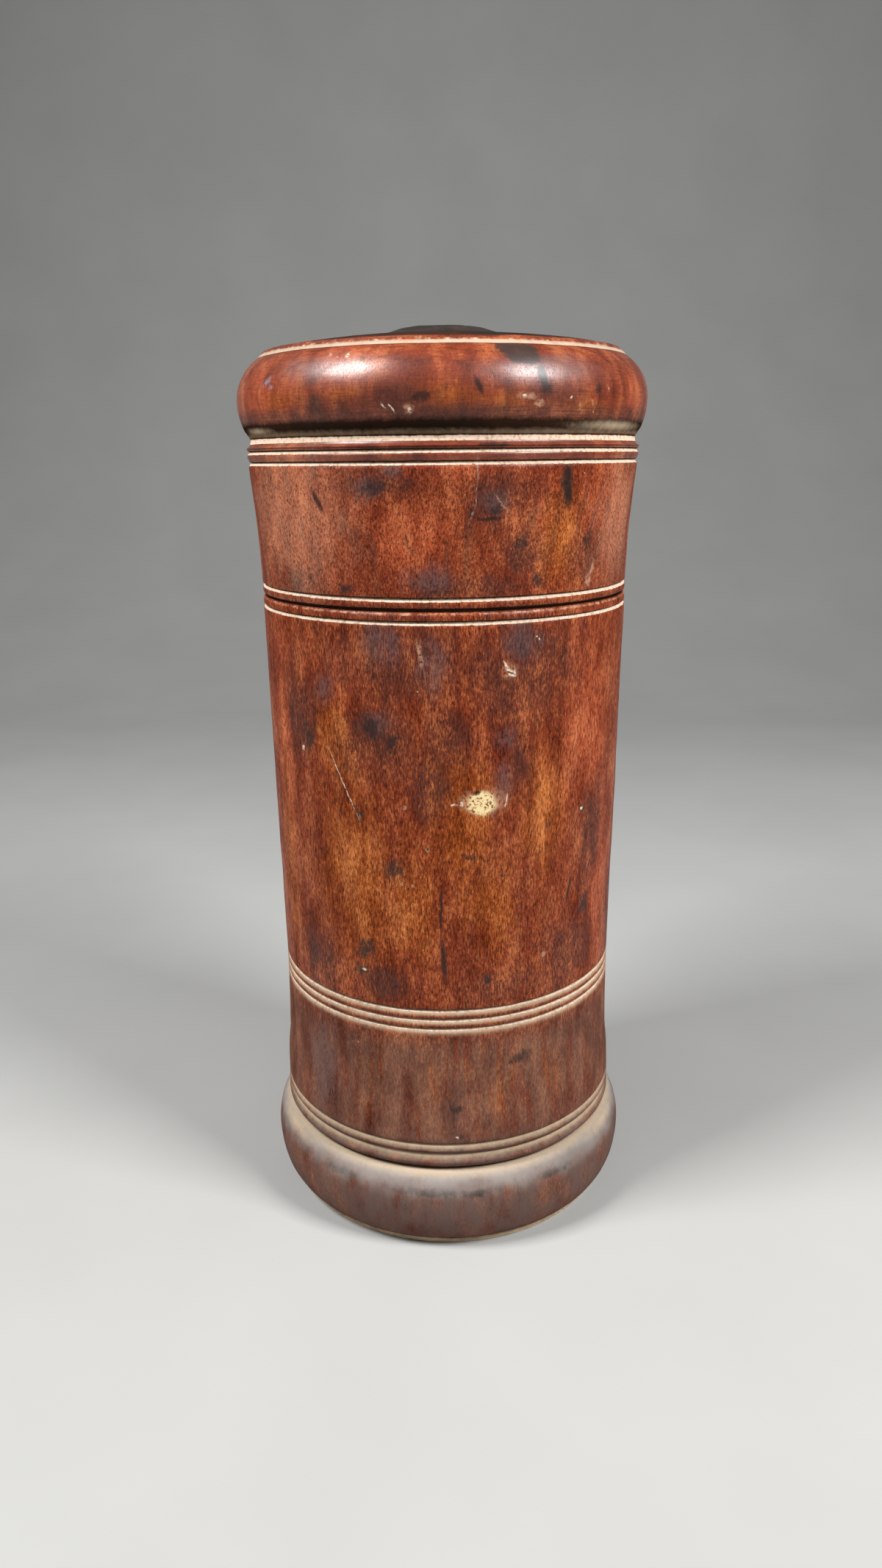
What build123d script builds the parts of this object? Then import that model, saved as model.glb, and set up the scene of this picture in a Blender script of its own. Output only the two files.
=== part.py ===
from build123d import *
import os

# A turned wooden jar with a tall lift-off lid. Every piece is turned about the Z axis.
# Z is 0 where the jar stands, and all lengths are in millimetres.

# Rim of the body, which sets the other radii of the body and the lid
rim_radius = 50.5
rim_round = 0.6
rim_bead_height = 3.0

# Bore and spigot
body_height = 180.3
wall_thickness = 9.5
spigot_wall = 5.0
spigot_height = 14.0
spigot_bevel = 0.8

# Base disc, let into the bore from below
base_disc_inset = 3.2
base_lip_height = 1.6
base_edge_bevel = 0.4
base_plug_length = 8.0
base_glue_gap = 0.1

# Foot moulding, a rounded swell that ends in a quirk
foot_proud = 3.3
foot_swell_height = 15.0
foot_height = 24.7
foot_shoulder_inset = 1.6
foot_underside_overhang = 0.9
quirk_depth = 1.0

# Turned grooves and the beads between them
groove_depth = 0.7
groove_flank = 0.6
base_bead_inset = 0.4
base_quirk_bead_height = 4.6
base_bead_pitch = 3.2
waist_inset = 1.65
waist_groove_height = 67.6
waist_bead_pitch = 2.75
waist_bead_count = 2

# The wall's soft curves, as shares of the height and of the change of radius
lower_wall_shares = ((0.22, 0.16), (0.45, 0.75))
upper_wall_shares = ((0.25, 0.20), (0.46, 0.48), (0.76, 0.74))

# Wall of the lid, from the joint up to its cove
lid_fit_clearance = 0.3
lid_seat_clearance = 0.7
lid_rim_bead_height = 2.6
lid_line_height = 34.2
lid_line_pitch = 2.7
lid_flare_proud = 2.0
lid_flare_shares = (0.5, 0.31)
lid_fillet_proud = 2.5
lid_fillet_height = 1.4
lid_cove_depth = 1.3
lid_cove_height = 2.2

# The lid's fat round moulding, and its top
lid_undercut_width = 1.45
lid_undercut_height = 2.2
lid_swell_proud = 4.2
lid_swell_rise = 7.2
lid_crown_inset = 1.3
lid_crown_rise = 10.35
lid_step_width = 0.9
lid_step_height = 0.95
lid_ring_width = 1.0
lid_ring_height = 1.0
lid_dome_height = 3.1
lid_dome_shares = (0.5, 0.70)
lid_top_thickness = 13.6
lid_ceiling_round = 5.0

# Button on the lid, a low boss on a tenon
button_radius = 19.5
button_edge_height = 0.3
button_height = 3.1
button_slope_width = 8.0
button_top_crown = 0.3
tenon_radius = 6.0
tenon_length = 7.5
tenon_clearance = 0.1
tenon_end_gap = 0.5

# Radii and heights of the body that follow from those above
bore_radius = rim_radius - wall_thickness
spigot_radius = bore_radius + spigot_wall
base_disc_radius = rim_radius - base_disc_inset
foot_radius = rim_radius + foot_proud
foot_shoulder_radius = rim_radius - foot_shoulder_inset
foot_underside_radius = base_disc_radius + foot_underside_overhang
quirk_radius = foot_shoulder_radius - quirk_depth
base_bead_radius = rim_radius - base_bead_inset
base_groove_low = foot_height + base_quirk_bead_height
base_groove_high = base_groove_low + base_bead_pitch
waist_radius = rim_radius - waist_inset
waist_groove_top = waist_groove_height + waist_bead_count * waist_bead_pitch
rim_groove = body_height - rim_bead_height

# Radii and heights of the lid and its button that follow from those above
lid_socket_radius = spigot_radius + lid_fit_clearance
lid_socket_top = body_height + spigot_height + lid_seat_clearance
lid_rim_groove = body_height + lid_rim_bead_height
lid_line_low = body_height + lid_line_height
lid_line_high = lid_line_low + lid_line_pitch
lid_flare_radius = rim_radius + lid_flare_proud
lid_fillet_radius = rim_radius + lid_fillet_proud
lid_fillet_top = lid_line_high + lid_fillet_height
lid_cove_radius = lid_fillet_radius - lid_cove_depth
lid_cove_top = lid_fillet_top + lid_cove_height
lid_undercut_radius = lid_cove_radius + lid_undercut_width
lid_undercut_top = lid_cove_top + lid_undercut_height
lid_radius = rim_radius + lid_swell_proud
lid_swell = lid_undercut_top + lid_swell_rise
lid_crown_radius = rim_radius - lid_crown_inset
lid_crown = lid_swell + lid_crown_rise
lid_step_radius = lid_crown_radius - lid_step_width
lid_step_top = lid_crown + lid_step_height
lid_ring_radius = lid_step_radius - lid_ring_width
lid_ring_top = lid_step_top + lid_ring_height
button_seat = lid_ring_top + lid_dome_height
button_top_radius = button_radius - button_slope_width
lid_ceiling = button_seat - lid_top_thickness


def between(low, high, shares):
    """Point part of the way from one (radius, height) point to another, by shares of height and radius."""
    height_share, radius_share = shares
    radius = low[0] + radius_share * (high[0] - low[0])
    height = low[1] + height_share * (high[1] - low[1])
    return (radius, height)


def bead(low, high, crown_radius):
    """Round bead from one groove's bottom to the next."""
    crown = (crown_radius, (low[1] + high[1]) / 2)
    return ThreePointArc(low, crown, high)


def groove_bottom(radius, height):
    """Bottom of a groove cut in a wall of this radius."""
    return (radius - groove_depth, height)


def quarter(centre, x_radius, y_radius, start_angle):
    """Quarter of an ellipse, run anticlockwise from the start angle."""
    return EllipticalCenterArc(centre, x_radius, y_radius, start_angle=start_angle, arc_size=90)


def chain(*points):
    """Straight edges from point to point."""
    return [Line(start, end) for start, end in zip(points, points[1:])]


def turned(edges):
    """Solid turned about Z from a closed outline of (radius, height) edges."""
    return revolve(Plane.XZ * make_face(edges), Axis.Z)


def make_base_disc():
    """Disc that closes the bore: a plug with a lip that shows as a thin strip under the foot."""
    plug_radius = bore_radius - base_glue_gap
    plug_top = base_lip_height + base_plug_length
    return turned(chain(
        (0, 0),
        (base_disc_radius - base_edge_bevel, 0),
        (base_disc_radius, base_edge_bevel),
        (base_disc_radius, base_lip_height),
        (plug_radius, base_lip_height),
        (plug_radius, plug_top),
        (0, plug_top),
        (0, 0),
    ))


def foot_edges():
    """Foot moulding: a round swell from the underside out to the widest point and in to the quirk."""
    below = quarter(
        (foot_underside_radius, foot_swell_height),
        foot_radius - foot_underside_radius,
        foot_swell_height - base_lip_height,
        start_angle=270,
    )
    above = quarter(
        (foot_shoulder_radius, foot_swell_height),
        foot_radius - foot_shoulder_radius,
        foot_height - foot_swell_height,
        start_angle=0,
    )
    quirk = Line((foot_shoulder_radius, foot_height), (quirk_radius, foot_height))
    return [below, above, quirk]


def base_bead_edges():
    """Two beads above the quirk, and the flank that leads out to the wall."""
    low = groove_bottom(base_bead_radius, base_groove_low)
    high = groove_bottom(base_bead_radius, base_groove_high)
    return [
        bead((quirk_radius, foot_height), low, base_bead_radius),
        bead(low, high, base_bead_radius),
        Line(high, (base_bead_radius, base_groove_high + groove_flank)),
    ]


def waist_bead_edges():
    """Grooves with beads between them at the waist, with a flank at each end."""
    heights = [waist_groove_height + step * waist_bead_pitch for step in range(waist_bead_count + 1)]
    bottoms = [groove_bottom(waist_radius, height) for height in heights]
    beads = [bead(low, high, waist_radius) for low, high in zip(bottoms, bottoms[1:])]
    lead_in = Line((waist_radius, waist_groove_height - groove_flank), bottoms[0])
    lead_out = Line(bottoms[-1], (waist_radius, waist_groove_top + groove_flank))
    return [lead_in, *beads, lead_out]


def wall_edges():
    """The body's two long soft curves, from the foot to the waist and from the waist to the rim."""
    foot_end = (base_bead_radius, base_groove_high + groove_flank)
    waist_low = (waist_radius, waist_groove_height - groove_flank)
    waist_high = (waist_radius, waist_groove_top + groove_flank)
    rim_end = (rim_radius, rim_groove - groove_flank)
    lower = [between(foot_end, waist_low, shares) for shares in lower_wall_shares]
    upper = [between(waist_high, rim_end, shares) for shares in upper_wall_shares]
    return [Spline(foot_end, *lower, waist_low), Spline(waist_high, *upper, rim_end)]


def make_jar_body():
    """Body: foot, wall with its grooves, rim and spigot, bored right through."""
    rim_bottom = groove_bottom(rim_radius, rim_groove)
    rim_edge = (rim_radius - rim_round, body_height)
    spigot_top = body_height + spigot_height
    return turned([
        Line((bore_radius, base_lip_height), (foot_underside_radius, base_lip_height)),
        *foot_edges(),
        *base_bead_edges(),
        *wall_edges(),
        *waist_bead_edges(),
        Line((rim_radius, rim_groove - groove_flank), rim_bottom),
        bead(rim_bottom, rim_edge, rim_radius),
        *chain(
            rim_edge,
            (spigot_radius, body_height),
            (spigot_radius, spigot_top - spigot_bevel),
            (spigot_radius - spigot_bevel, spigot_top),
            (bore_radius, spigot_top),
            (bore_radius, base_lip_height),
        ),
    ])


def lid_wall_edges():
    """The lid's side: rim bead, flared wall, two grooves, fillet and cove."""
    rim_edge = (rim_radius - rim_round, body_height)
    rim_bottom = groove_bottom(rim_radius, lid_rim_groove)
    flare_low = (rim_radius, lid_rim_groove + groove_flank)
    flare_high = (lid_flare_radius, lid_line_low - groove_flank)
    line_low = groove_bottom(lid_flare_radius, lid_line_low)
    line_high = groove_bottom(lid_fillet_radius, lid_line_high)
    cove = quarter(
        (lid_fillet_radius, lid_cove_top),
        lid_fillet_radius - lid_cove_radius,
        lid_cove_height,
        start_angle=180,
    )
    return [
        bead(rim_edge, rim_bottom, rim_radius),
        Line(rim_bottom, flare_low),
        ThreePointArc(flare_low, between(flare_low, flare_high, lid_flare_shares), flare_high),
        Line(flare_high, line_low),
        bead(line_low, line_high, lid_flare_radius),
        *chain(
            line_high,
            (lid_fillet_radius, lid_line_high + groove_flank),
            (lid_fillet_radius, lid_fillet_top),
        ),
        cove,
    ]


def lid_crown_edges():
    """The lid's fat round moulding, the step and ring on top, and the low dome up to the button's seat."""
    undercut = (lid_undercut_radius, lid_undercut_top)
    widest = (lid_radius, lid_swell)
    crown = (lid_crown_radius, lid_crown)
    ring = (lid_ring_radius, lid_ring_top)
    seat = (button_radius, button_seat)
    return [
        Line((lid_cove_radius, lid_cove_top), undercut),
        TangentArc(widest, undercut, tangent=(0, -1)),
        TangentArc(widest, crown, tangent=(0, 1)),
        *chain(crown, (lid_step_radius, lid_step_top), ring),
        ThreePointArc(ring, between(ring, seat, lid_dome_shares), seat),
    ]


def make_lid():
    """Lid: a hollow cap with a socket for the spigot and a blind hole for the button's tenon."""
    hole_radius = tenon_radius + tenon_clearance
    hole_floor = button_seat - tenon_length - tenon_end_gap
    ceiling_corner = quarter(
        (bore_radius - lid_ceiling_round, lid_ceiling - lid_ceiling_round),
        lid_ceiling_round,
        lid_ceiling_round,
        start_angle=0,
    )
    return turned([
        Line((lid_socket_radius, body_height), (rim_radius - rim_round, body_height)),
        *lid_wall_edges(),
        *lid_crown_edges(),
        *chain(
            (button_radius, button_seat),
            (hole_radius, button_seat),
            (hole_radius, hole_floor),
            (0, hole_floor),
            (0, lid_ceiling),
            (bore_radius - lid_ceiling_round, lid_ceiling),
        ),
        ceiling_corner,
        *chain(
            (bore_radius, lid_ceiling - lid_ceiling_round),
            (bore_radius, lid_socket_top),
            (lid_socket_radius, lid_socket_top),
            (lid_socket_radius, body_height),
        ),
    ])


def make_lid_button():
    """Button: a low boss with a hollowed slope and a slightly crowned top, on a tenon."""
    tenon_end = button_seat - tenon_length
    rim = (button_radius, button_seat + button_edge_height)
    shoulder = (button_top_radius, button_seat + button_height - button_top_crown)
    top = (0, button_seat + button_height)
    return turned([
        *chain(
            (0, tenon_end),
            (tenon_radius, tenon_end),
            (tenon_radius, button_seat),
            (button_radius, button_seat),
            rim,
        ),
        Spline(rim, shoulder, tangents=[(-1, 0), (-1, 0)]),
        TangentArc(top, shoulder, tangent=(1, 0)),
        Line(top, (0, tenon_end)),
    ])


pieces = {
    "base_disc": make_base_disc(),
    "jar_body": make_jar_body(),
    "lid": make_lid(),
    "lid_button": make_lid_button(),
}
os.makedirs("parts", exist_ok=True)
for name, piece in pieces.items():
    piece.label = name
    export_step(piece, f"parts/{name}.step")
    print(name, "volume", round(piece.volume, 1), "valid", piece.is_valid)
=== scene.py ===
"""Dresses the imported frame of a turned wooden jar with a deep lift-off lid.

Every piece is turned: an outline is drawn point by point, spun about the upright axis and then weathered.
Each point of an outline says which finishes lie there, and the materials read them as attributes.
Lengths are in metres, angles on the jar run to the right from the front, and the front faces -Y.
"""

import math

import bpy
import numpy
from bpy.props import FloatProperty, FloatVectorProperty, IntProperty, PointerProperty
from mathutils import Matrix, Vector


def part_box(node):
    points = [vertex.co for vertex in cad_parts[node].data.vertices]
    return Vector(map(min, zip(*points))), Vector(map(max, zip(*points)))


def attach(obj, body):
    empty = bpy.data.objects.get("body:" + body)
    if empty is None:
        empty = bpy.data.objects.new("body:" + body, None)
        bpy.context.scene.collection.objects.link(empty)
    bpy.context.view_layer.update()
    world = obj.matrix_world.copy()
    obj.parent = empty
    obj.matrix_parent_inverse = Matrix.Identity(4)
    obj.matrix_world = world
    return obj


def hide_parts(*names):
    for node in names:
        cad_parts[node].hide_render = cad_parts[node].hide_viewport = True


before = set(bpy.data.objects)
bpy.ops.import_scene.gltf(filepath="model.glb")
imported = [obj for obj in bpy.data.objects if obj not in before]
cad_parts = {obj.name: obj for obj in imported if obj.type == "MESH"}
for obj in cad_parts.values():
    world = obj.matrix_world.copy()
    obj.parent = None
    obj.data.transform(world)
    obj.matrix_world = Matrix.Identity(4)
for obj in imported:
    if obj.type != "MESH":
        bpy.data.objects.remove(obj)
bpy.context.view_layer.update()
jar_low, jar_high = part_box("jar_body")
lid_low, lid_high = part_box("lid")
button_low, button_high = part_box("lid_button")
_, base_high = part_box("base_disc")

bl_info = {
    "name": "Turned jar",
    "version": (1, 0, 0),
    "blender": (4, 5, 0),
    "location": "3D View > Sidebar > Turned jar",
    "description": "Models a turned wooden jar with a lift-off lid",
    "category": "Add Mesh",
}

MM = 0.001

# Finishes that a point of an outline can carry, each kept as an attribute of its own; the dark and the
# rubbed ones also carry painted shade and painted highlights
FINISHES = ("cream", "tan", "grime", "dust", "rub", "soot", "bare")

# How far a turned line reaches below and above its height, and the spacing of points up a plain wall
LINE_BELOW = 1.10 * MM
LINE_ABOVE = 1.20 * MM
WALL_SPACING = 1.1 * MM

# Points of a turned mesh closer than this are made one, and edges flatter than this look smooth
MERGE_WITHIN = 0.004 * MM
SMOOTH_BELOW = math.radians(50)

# Dents worn into the wood: the size and the depth of each kind
WALL_DENTS = ((22 * MM, 0.30 * MM), (5 * MM, 0.10 * MM))
BUTTON_DENTS = ((6 * MM, 0.25 * MM),)

# Radius at which the wall is laid flat, so that an angle on it becomes a width
FLAT_RADIUS = 50.0 * MM

# A height above the whole jar
ABOVE_ALL = 400 * MM

# Typical for dense hardwood under wax
WOOD_IOR = 1.5

# The studio paper: its size, the place of its middle, and the backdrop's height and round
PAPER_SIZE = 4.0
PAPER_MIDDLE = -0.8
BACKDROP_HEIGHT = 2.0
BACKDROP_ROUND = 0.6

# The softboxes: their angles from the front and above the floor, the height they face and their distance
SOFTBOXES = (("softbox_left", -62, 45), ("softbox_right", 54, 37))
LAMP_AIM = 0.20
LAMP_DISTANCE = 0.75

# The camera's sensor, in millimetres, and the nearest that it sees
SENSOR_WIDTH = 36.0
NEAR_CLIP = 0.01

# Socket numbers of the Mix node, whose sockets share their names
MIX_FACTOR = 0
MIX_FLOAT_A = 2
MIX_FLOAT_B = 3
MIX_COLOUR_A = 6
MIX_COLOUR_B = 7
MIX_COLOUR_RESULT = 2


def linear(hex_colour):
    """Turns an sRGB hex colour to linear red, green and blue."""
    channels = [int(hex_colour[place:place + 2], 16) / 255 for place in (1, 3, 5)]
    return tuple(c / 12.92 if c <= 0.04045 else ((c + 0.055) / 1.055) ** 2.4 for c in channels)


# Sizes and colours that a user would change


class JarSizes(bpy.types.PropertyGroup):
    """Sizes of the jar's body and of the disc let into its base."""

    foot_radius: FloatProperty(
        name="Foot radius", description="Widest radius of the rounded foot",
        default=jar_high.x, unit="LENGTH")
    foot_swell_height: FloatProperty(
        name="Foot swell height", description="Height at which the foot is widest",
        default=15.0 * MM, unit="LENGTH")
    foot_height: FloatProperty(
        name="Foot height", description="Height of the quirk above the foot",
        default=24.7 * MM, unit="LENGTH")
    underside_radius: FloatProperty(
        name="Underside radius", description="Radius at which the foot's round meets its underside",
        default=47.6 * MM, unit="LENGTH")
    shoulder_radius: FloatProperty(
        name="Shoulder radius", description="Radius at the top of the foot's round",
        default=48.9 * MM, unit="LENGTH")
    base_bead_radius: FloatProperty(
        name="Base bead radius", description="Radius of the beads above the foot",
        default=50.1 * MM, unit="LENGTH")
    waist_radius: FloatProperty(
        name="Waist radius", description="Radius at the three turned lines",
        default=48.85 * MM, unit="LENGTH")
    rim_radius: FloatProperty(
        name="Rim radius", description="Radius of the body and of the lid where they meet",
        default=50.5 * MM, unit="LENGTH")
    joint_height: FloatProperty(
        name="Joint height", description="Height of the shoulder that the lid rests on",
        default=lid_low.z, unit="LENGTH")
    spigot_radius: FloatProperty(
        name="Spigot radius", description="Radius of the spigot that the lid pushes on to",
        default=46.0 * MM, unit="LENGTH")
    spigot_top: FloatProperty(
        name="Spigot top", description="Height of the spigot's rim",
        default=jar_high.z, unit="LENGTH")
    bore_radius: FloatProperty(
        name="Bore radius", description="Radius of the jar's hollow",
        default=41.0 * MM, unit="LENGTH")
    groove_depth: FloatProperty(
        name="Groove depth", description="Depth of each turned line",
        default=0.7 * MM, unit="LENGTH")


class LidSizes(bpy.types.PropertyGroup):
    """Sizes of the lid and of the button on its top."""

    line_height: FloatProperty(
        name="Line height", description="Height of the lower of the two lines under the cove",
        default=214.5 * MM, unit="LENGTH")
    line_radius: FloatProperty(
        name="Line radius", description="Radius of the flared wall at the lower line",
        default=52.5 * MM, unit="LENGTH")
    fillet_radius: FloatProperty(
        name="Fillet radius", description="Radius of the fillet under the cove",
        default=53.0 * MM, unit="LENGTH")
    cove_radius: FloatProperty(
        name="Cove radius", description="Least radius of the cove",
        default=51.7 * MM, unit="LENGTH")
    swell_radius: FloatProperty(
        name="Swell radius", description="Widest radius of the fat moulding",
        default=lid_high.x, unit="LENGTH")
    swell_height: FloatProperty(
        name="Swell height", description="Height at which the fat moulding is widest",
        default=230.2 * MM, unit="LENGTH")
    crown_radius: FloatProperty(
        name="Crown radius", description="Radius at the top of the fat moulding",
        default=49.2 * MM, unit="LENGTH")
    crown_height: FloatProperty(
        name="Crown height", description="Height of the top of the fat moulding",
        default=240.55 * MM, unit="LENGTH")
    seat_height: FloatProperty(
        name="Seat height", description="Height of the flat that the button sits on",
        default=lid_high.z, unit="LENGTH")
    socket_radius: FloatProperty(
        name="Socket radius", description="Radius of the socket over the spigot",
        default=46.3 * MM, unit="LENGTH")
    ceiling_height: FloatProperty(
        name="Ceiling height", description="Height of the hollow's ceiling",
        default=232.0 * MM, unit="LENGTH")
    button_radius: FloatProperty(
        name="Button radius", description="Radius of the button",
        default=button_high.x, unit="LENGTH")
    button_top: FloatProperty(
        name="Button top", description="Height of the button's top",
        default=button_high.z, unit="LENGTH")


class FinishColours(bpy.types.PropertyGroup):
    """Colours of the wood and of what lies on it."""

    ground: FloatVectorProperty(
        name="Ground", description="Waxed wood between its flecks",
        default=linear("#7C3217"), subtype="COLOR", size=3)
    shade: FloatVectorProperty(
        name="Shade", description="Dark flecks of the waxed wood",
        default=linear("#411205"), subtype="COLOR", size=3)
    light: FloatVectorProperty(
        name="Light", description="Light flecks of the waxed wood",
        default=linear("#C06C3E"), subtype="COLOR", size=3)
    golden: FloatVectorProperty(
        name="Golden", description="Wood worn to a golden brown by hands",
        default=linear("#924412"), subtype="COLOR", size=3)
    golden_light: FloatVectorProperty(
        name="Golden light", description="Light flecks of the golden wood",
        default=linear("#D88444"), subtype="COLOR", size=3)
    red: FloatVectorProperty(
        name="Red", description="Redder wood at the sides and on the lid",
        default=linear("#9C4424"), subtype="COLOR", size=3)
    red_light: FloatVectorProperty(
        name="Red light", description="Light flecks of the redder wood",
        default=linear("#D07A4E"), subtype="COLOR", size=3)
    # Laid as darkening by handling, partly as painted shade round the top of the body, and as a ring of
    # painted shade under the lid's moulding; also a stop in the button's black
    dusk_and_shade: FloatVectorProperty(
        name="Dusk", description="Wood darkened by handling and old wax",
        default=linear("#46261F"), subtype="COLOR", size=3)
    dull: FloatVectorProperty(
        name="Dull", description="Dusty brown of the base, where wax has gone",
        default=linear("#6A4C41"), subtype="COLOR", size=3)
    dull_light: FloatVectorProperty(
        name="Dull light", description="Light flecks of the base, where wax has gone",
        default=linear("#956C54"), subtype="COLOR", size=3)
    film: FloatVectorProperty(
        name="Film", description="Thin grey film of dirt on the foot",
        default=linear("#67554F"), subtype="COLOR", size=3)
    pore: FloatVectorProperty(
        name="Pores", description="Upright pores and the thin lines of the figure",
        default=linear("#2A0D05"), subtype="COLOR", size=3)
    stain: FloatVectorProperty(
        name="Stains", description="Dark stains and smudges",
        default=linear("#1D100D"), subtype="COLOR", size=3)
    # Laid as haze in the wax, and on the lid's moulding as painted reflections of the softboxes
    bloom_and_sheen: FloatVectorProperty(
        name="Bloom", description="Grey haze in the wax",
        default=linear("#5A494A"), subtype="COLOR", size=3)
    # Laid as scuffs and worn edges, and also as a painted highlight on the rim's edge and painted sheen on
    # the lid's wall
    scuff: FloatVectorProperty(
        name="Scuffs", description="Scratches, nicks and rubbed edges",
        default=linear("#C3967A"), subtype="COLOR", size=3)
    chalk: FloatVectorProperty(
        name="Chalk", description="White nicks where the surface has broken",
        default=linear("#D3C2AA"), subtype="COLOR", size=3)
    cream: FloatVectorProperty(
        name="Cream", description="Old polish dried in the grooves",
        default=linear("#DCC3AE"), subtype="COLOR", size=3)
    cream_shade: FloatVectorProperty(
        name="Cream in the shade", description="Dirty part of the dried polish",
        default=linear("#A98C6C"), subtype="COLOR", size=3)
    # Laid as painted shade in the grooves, the quirks, the joint and under the moulding, together with real
    # dirt; also the darkest stop of the button's black
    grime: FloatVectorProperty(
        name="Grime", description="Black dirt in the grooves and under the moulding",
        default=linear("#201B15"), subtype="COLOR", size=3)
    dust: FloatVectorProperty(
        name="Dust", description="Grey dust on the foot",
        default=linear("#9A9590"), subtype="COLOR", size=3)
    tan: FloatVectorProperty(
        name="Tan", description="Dusty polish on the beads, the foot and the lid's step",
        default=linear("#C2AB8F"), subtype="COLOR", size=3)
    soot: FloatVectorProperty(
        name="Soot", description="Blackened top of the lid",
        default=linear("#2B2421"), subtype="COLOR", size=3)
    bare: FloatVectorProperty(
        name="Bare wood", description="Unwaxed wood inside the jar and the lid",
        default=linear("#8C6043"), subtype="COLOR", size=3)
    paint: FloatVectorProperty(
        name="Paint", description="Spot of old paint on the front",
        default=linear("#EBD49E"), subtype="COLOR", size=3)
    blue: FloatVectorProperty(
        name="Blue speck", description="Small blue smear on the moulding",
        default=linear("#6E8799"), subtype="COLOR", size=3)
    disc: FloatVectorProperty(
        name="Base disc", description="Pale dry wood of the disc in the base",
        default=linear("#DCBE9A"), subtype="COLOR", size=3)


class StageSettings(bpy.types.PropertyGroup):
    """The floor, the lamps and the camera."""

    floor: FloatVectorProperty(
        name="Floor", description="Colour of the floor and the backdrop",
        default=linear("#B2B2B0"), subtype="COLOR", size=3)
    lamp_power: FloatProperty(
        name="Lamp power", description="Power of each of the two softboxes",
        default=8.0, unit="POWER")
    lamp_size: FloatProperty(
        name="Lamp size", description="Width of each softbox",
        default=0.26, unit="LENGTH")
    fill_level: FloatProperty(
        name="Fill level", description="Strength of the even light from all around", default=0.12)
    lens: FloatProperty(
        name="Lens", description="Focal length of the camera, in millimetres",
        default=25.55, subtype="DISTANCE_CAMERA")
    camera_place: FloatVectorProperty(
        name="Camera place", description="Where the camera stands",
        default=(-1.33 * MM, -317.8 * MM, 215.5 * MM), subtype="XYZ", unit="LENGTH", size=3)
    camera_dip: FloatProperty(
        name="Camera dip", description="How far the camera looks down",
        default=math.radians(16.29), subtype="ANGLE", unit="ROTATION")
    camera_roll: FloatProperty(
        name="Camera roll", description="How far the camera leans to the side",
        default=math.radians(-0.57), subtype="ANGLE", unit="ROTATION")


class TurnedJar(bpy.types.PropertyGroup):
    """All settings of the turned jar."""

    jar: PointerProperty(type=JarSizes, name="Jar", description="Sizes of the jar")
    lid: PointerProperty(type=LidSizes, name="Lid", description="Sizes of the lid")
    colours: PointerProperty(type=FinishColours, name="Colours", description="Colours of the finishes")
    stage: PointerProperty(type=StageSettings, name="Stage", description="Floor, lamps and camera")
    steps: IntProperty(name="Steps", description="Steps of each turned piece round its axis", default=300)


# Outlines


class Outline:
    """An outline to turn, drawn from point to point, where each point carries its finishes."""

    def __init__(self):
        self.points = []

    def to(self, radius, height, **finishes):
        """Draws a straight line to a point."""
        self.points.append((radius, height, finishes))

    def steps(self, radius, height, offsets):
        """Draws short lines to points given by millimetres out and up from a corner, and by finishes."""
        for out, up, finishes in offsets:
            self.to(radius + out * MM, height + up * MM, **finishes)

    def along(self, end, count, **finishes):
        """Draws a straight line to a point in several equal steps."""
        radius, height, _ = self.points[-1]
        for step in range(1, count + 1):
            share = step / count
            self.to(radius + (end[0] - radius) * share, height + (end[1] - height) * share, **finishes)

    def arc(self, centre, radii, first, last, count, finish):
        """Draws part of an ellipse between two angles; finish gives the finishes at a height."""
        for step in range(count + 1):
            turn = math.radians(first + (last - first) * step / count)
            radius = centre[0] + radii[0] * math.cos(turn)
            height = centre[1] + radii[1] * math.sin(turn)
            self.to(radius, height, **finish(height))

    def bead(self, low, crown, high, count, finish):
        """Draws a bead between a low and a high point, over a crown of a given radius."""
        for step in range(1, count):
            share = step / count
            foot = low[0] + (high[0] - low[0]) * share
            middle = (low[0] + high[0]) / 2
            radius = foot + (crown - middle) * math.sin(math.pi * share) ** 0.7
            height = low[1] + (high[1] - low[1]) * share
            self.to(radius, height, **finish(height))

    def wall(self, stations):
        """Draws a smooth wall through stations of radius and height, leaving out both ends."""
        low, high = stations[0][1], stations[-1][1]
        count = max(2, round((high - low) / WALL_SPACING))
        for step in range(1, count):
            height = low + (high - low) * step / count
            self.to(smooth_radius(stations, height), height)

    def groove(self, radius, height, depth, cream=1.0, tan=0.0, shoulder=0.04 * MM):
        """Draws a turned line: a slanting lower side that holds dried polish and a steep upper side with
        painted shade.

        Cream and tan say how much of each polish it holds. Tan fades out over the wood below the line.
        """
        self.to(radius, height - LINE_BELOW, tan=0.40 * tan)
        self.to(radius - shoulder, height - 0.55 * MM, cream=0.42 * cream, tan=0.75 * tan)
        self.to(radius - depth * 0.4, height - 0.12 * MM, cream=0.86 * cream, tan=tan)
        self.to(radius - depth * 0.92, height + 0.30 * MM, cream=cream, tan=tan)
        self.to(radius - depth, height + 0.42 * MM, cream=0.6 * cream, tan=0.5 * tan, grime=0.6)
        self.to(radius - depth * 0.6, height + 0.55 * MM, grime=1.0)
        self.to(radius - shoulder, height + 0.75 * MM, grime=0.40)
        self.to(radius, height + LINE_ABOVE)


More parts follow.
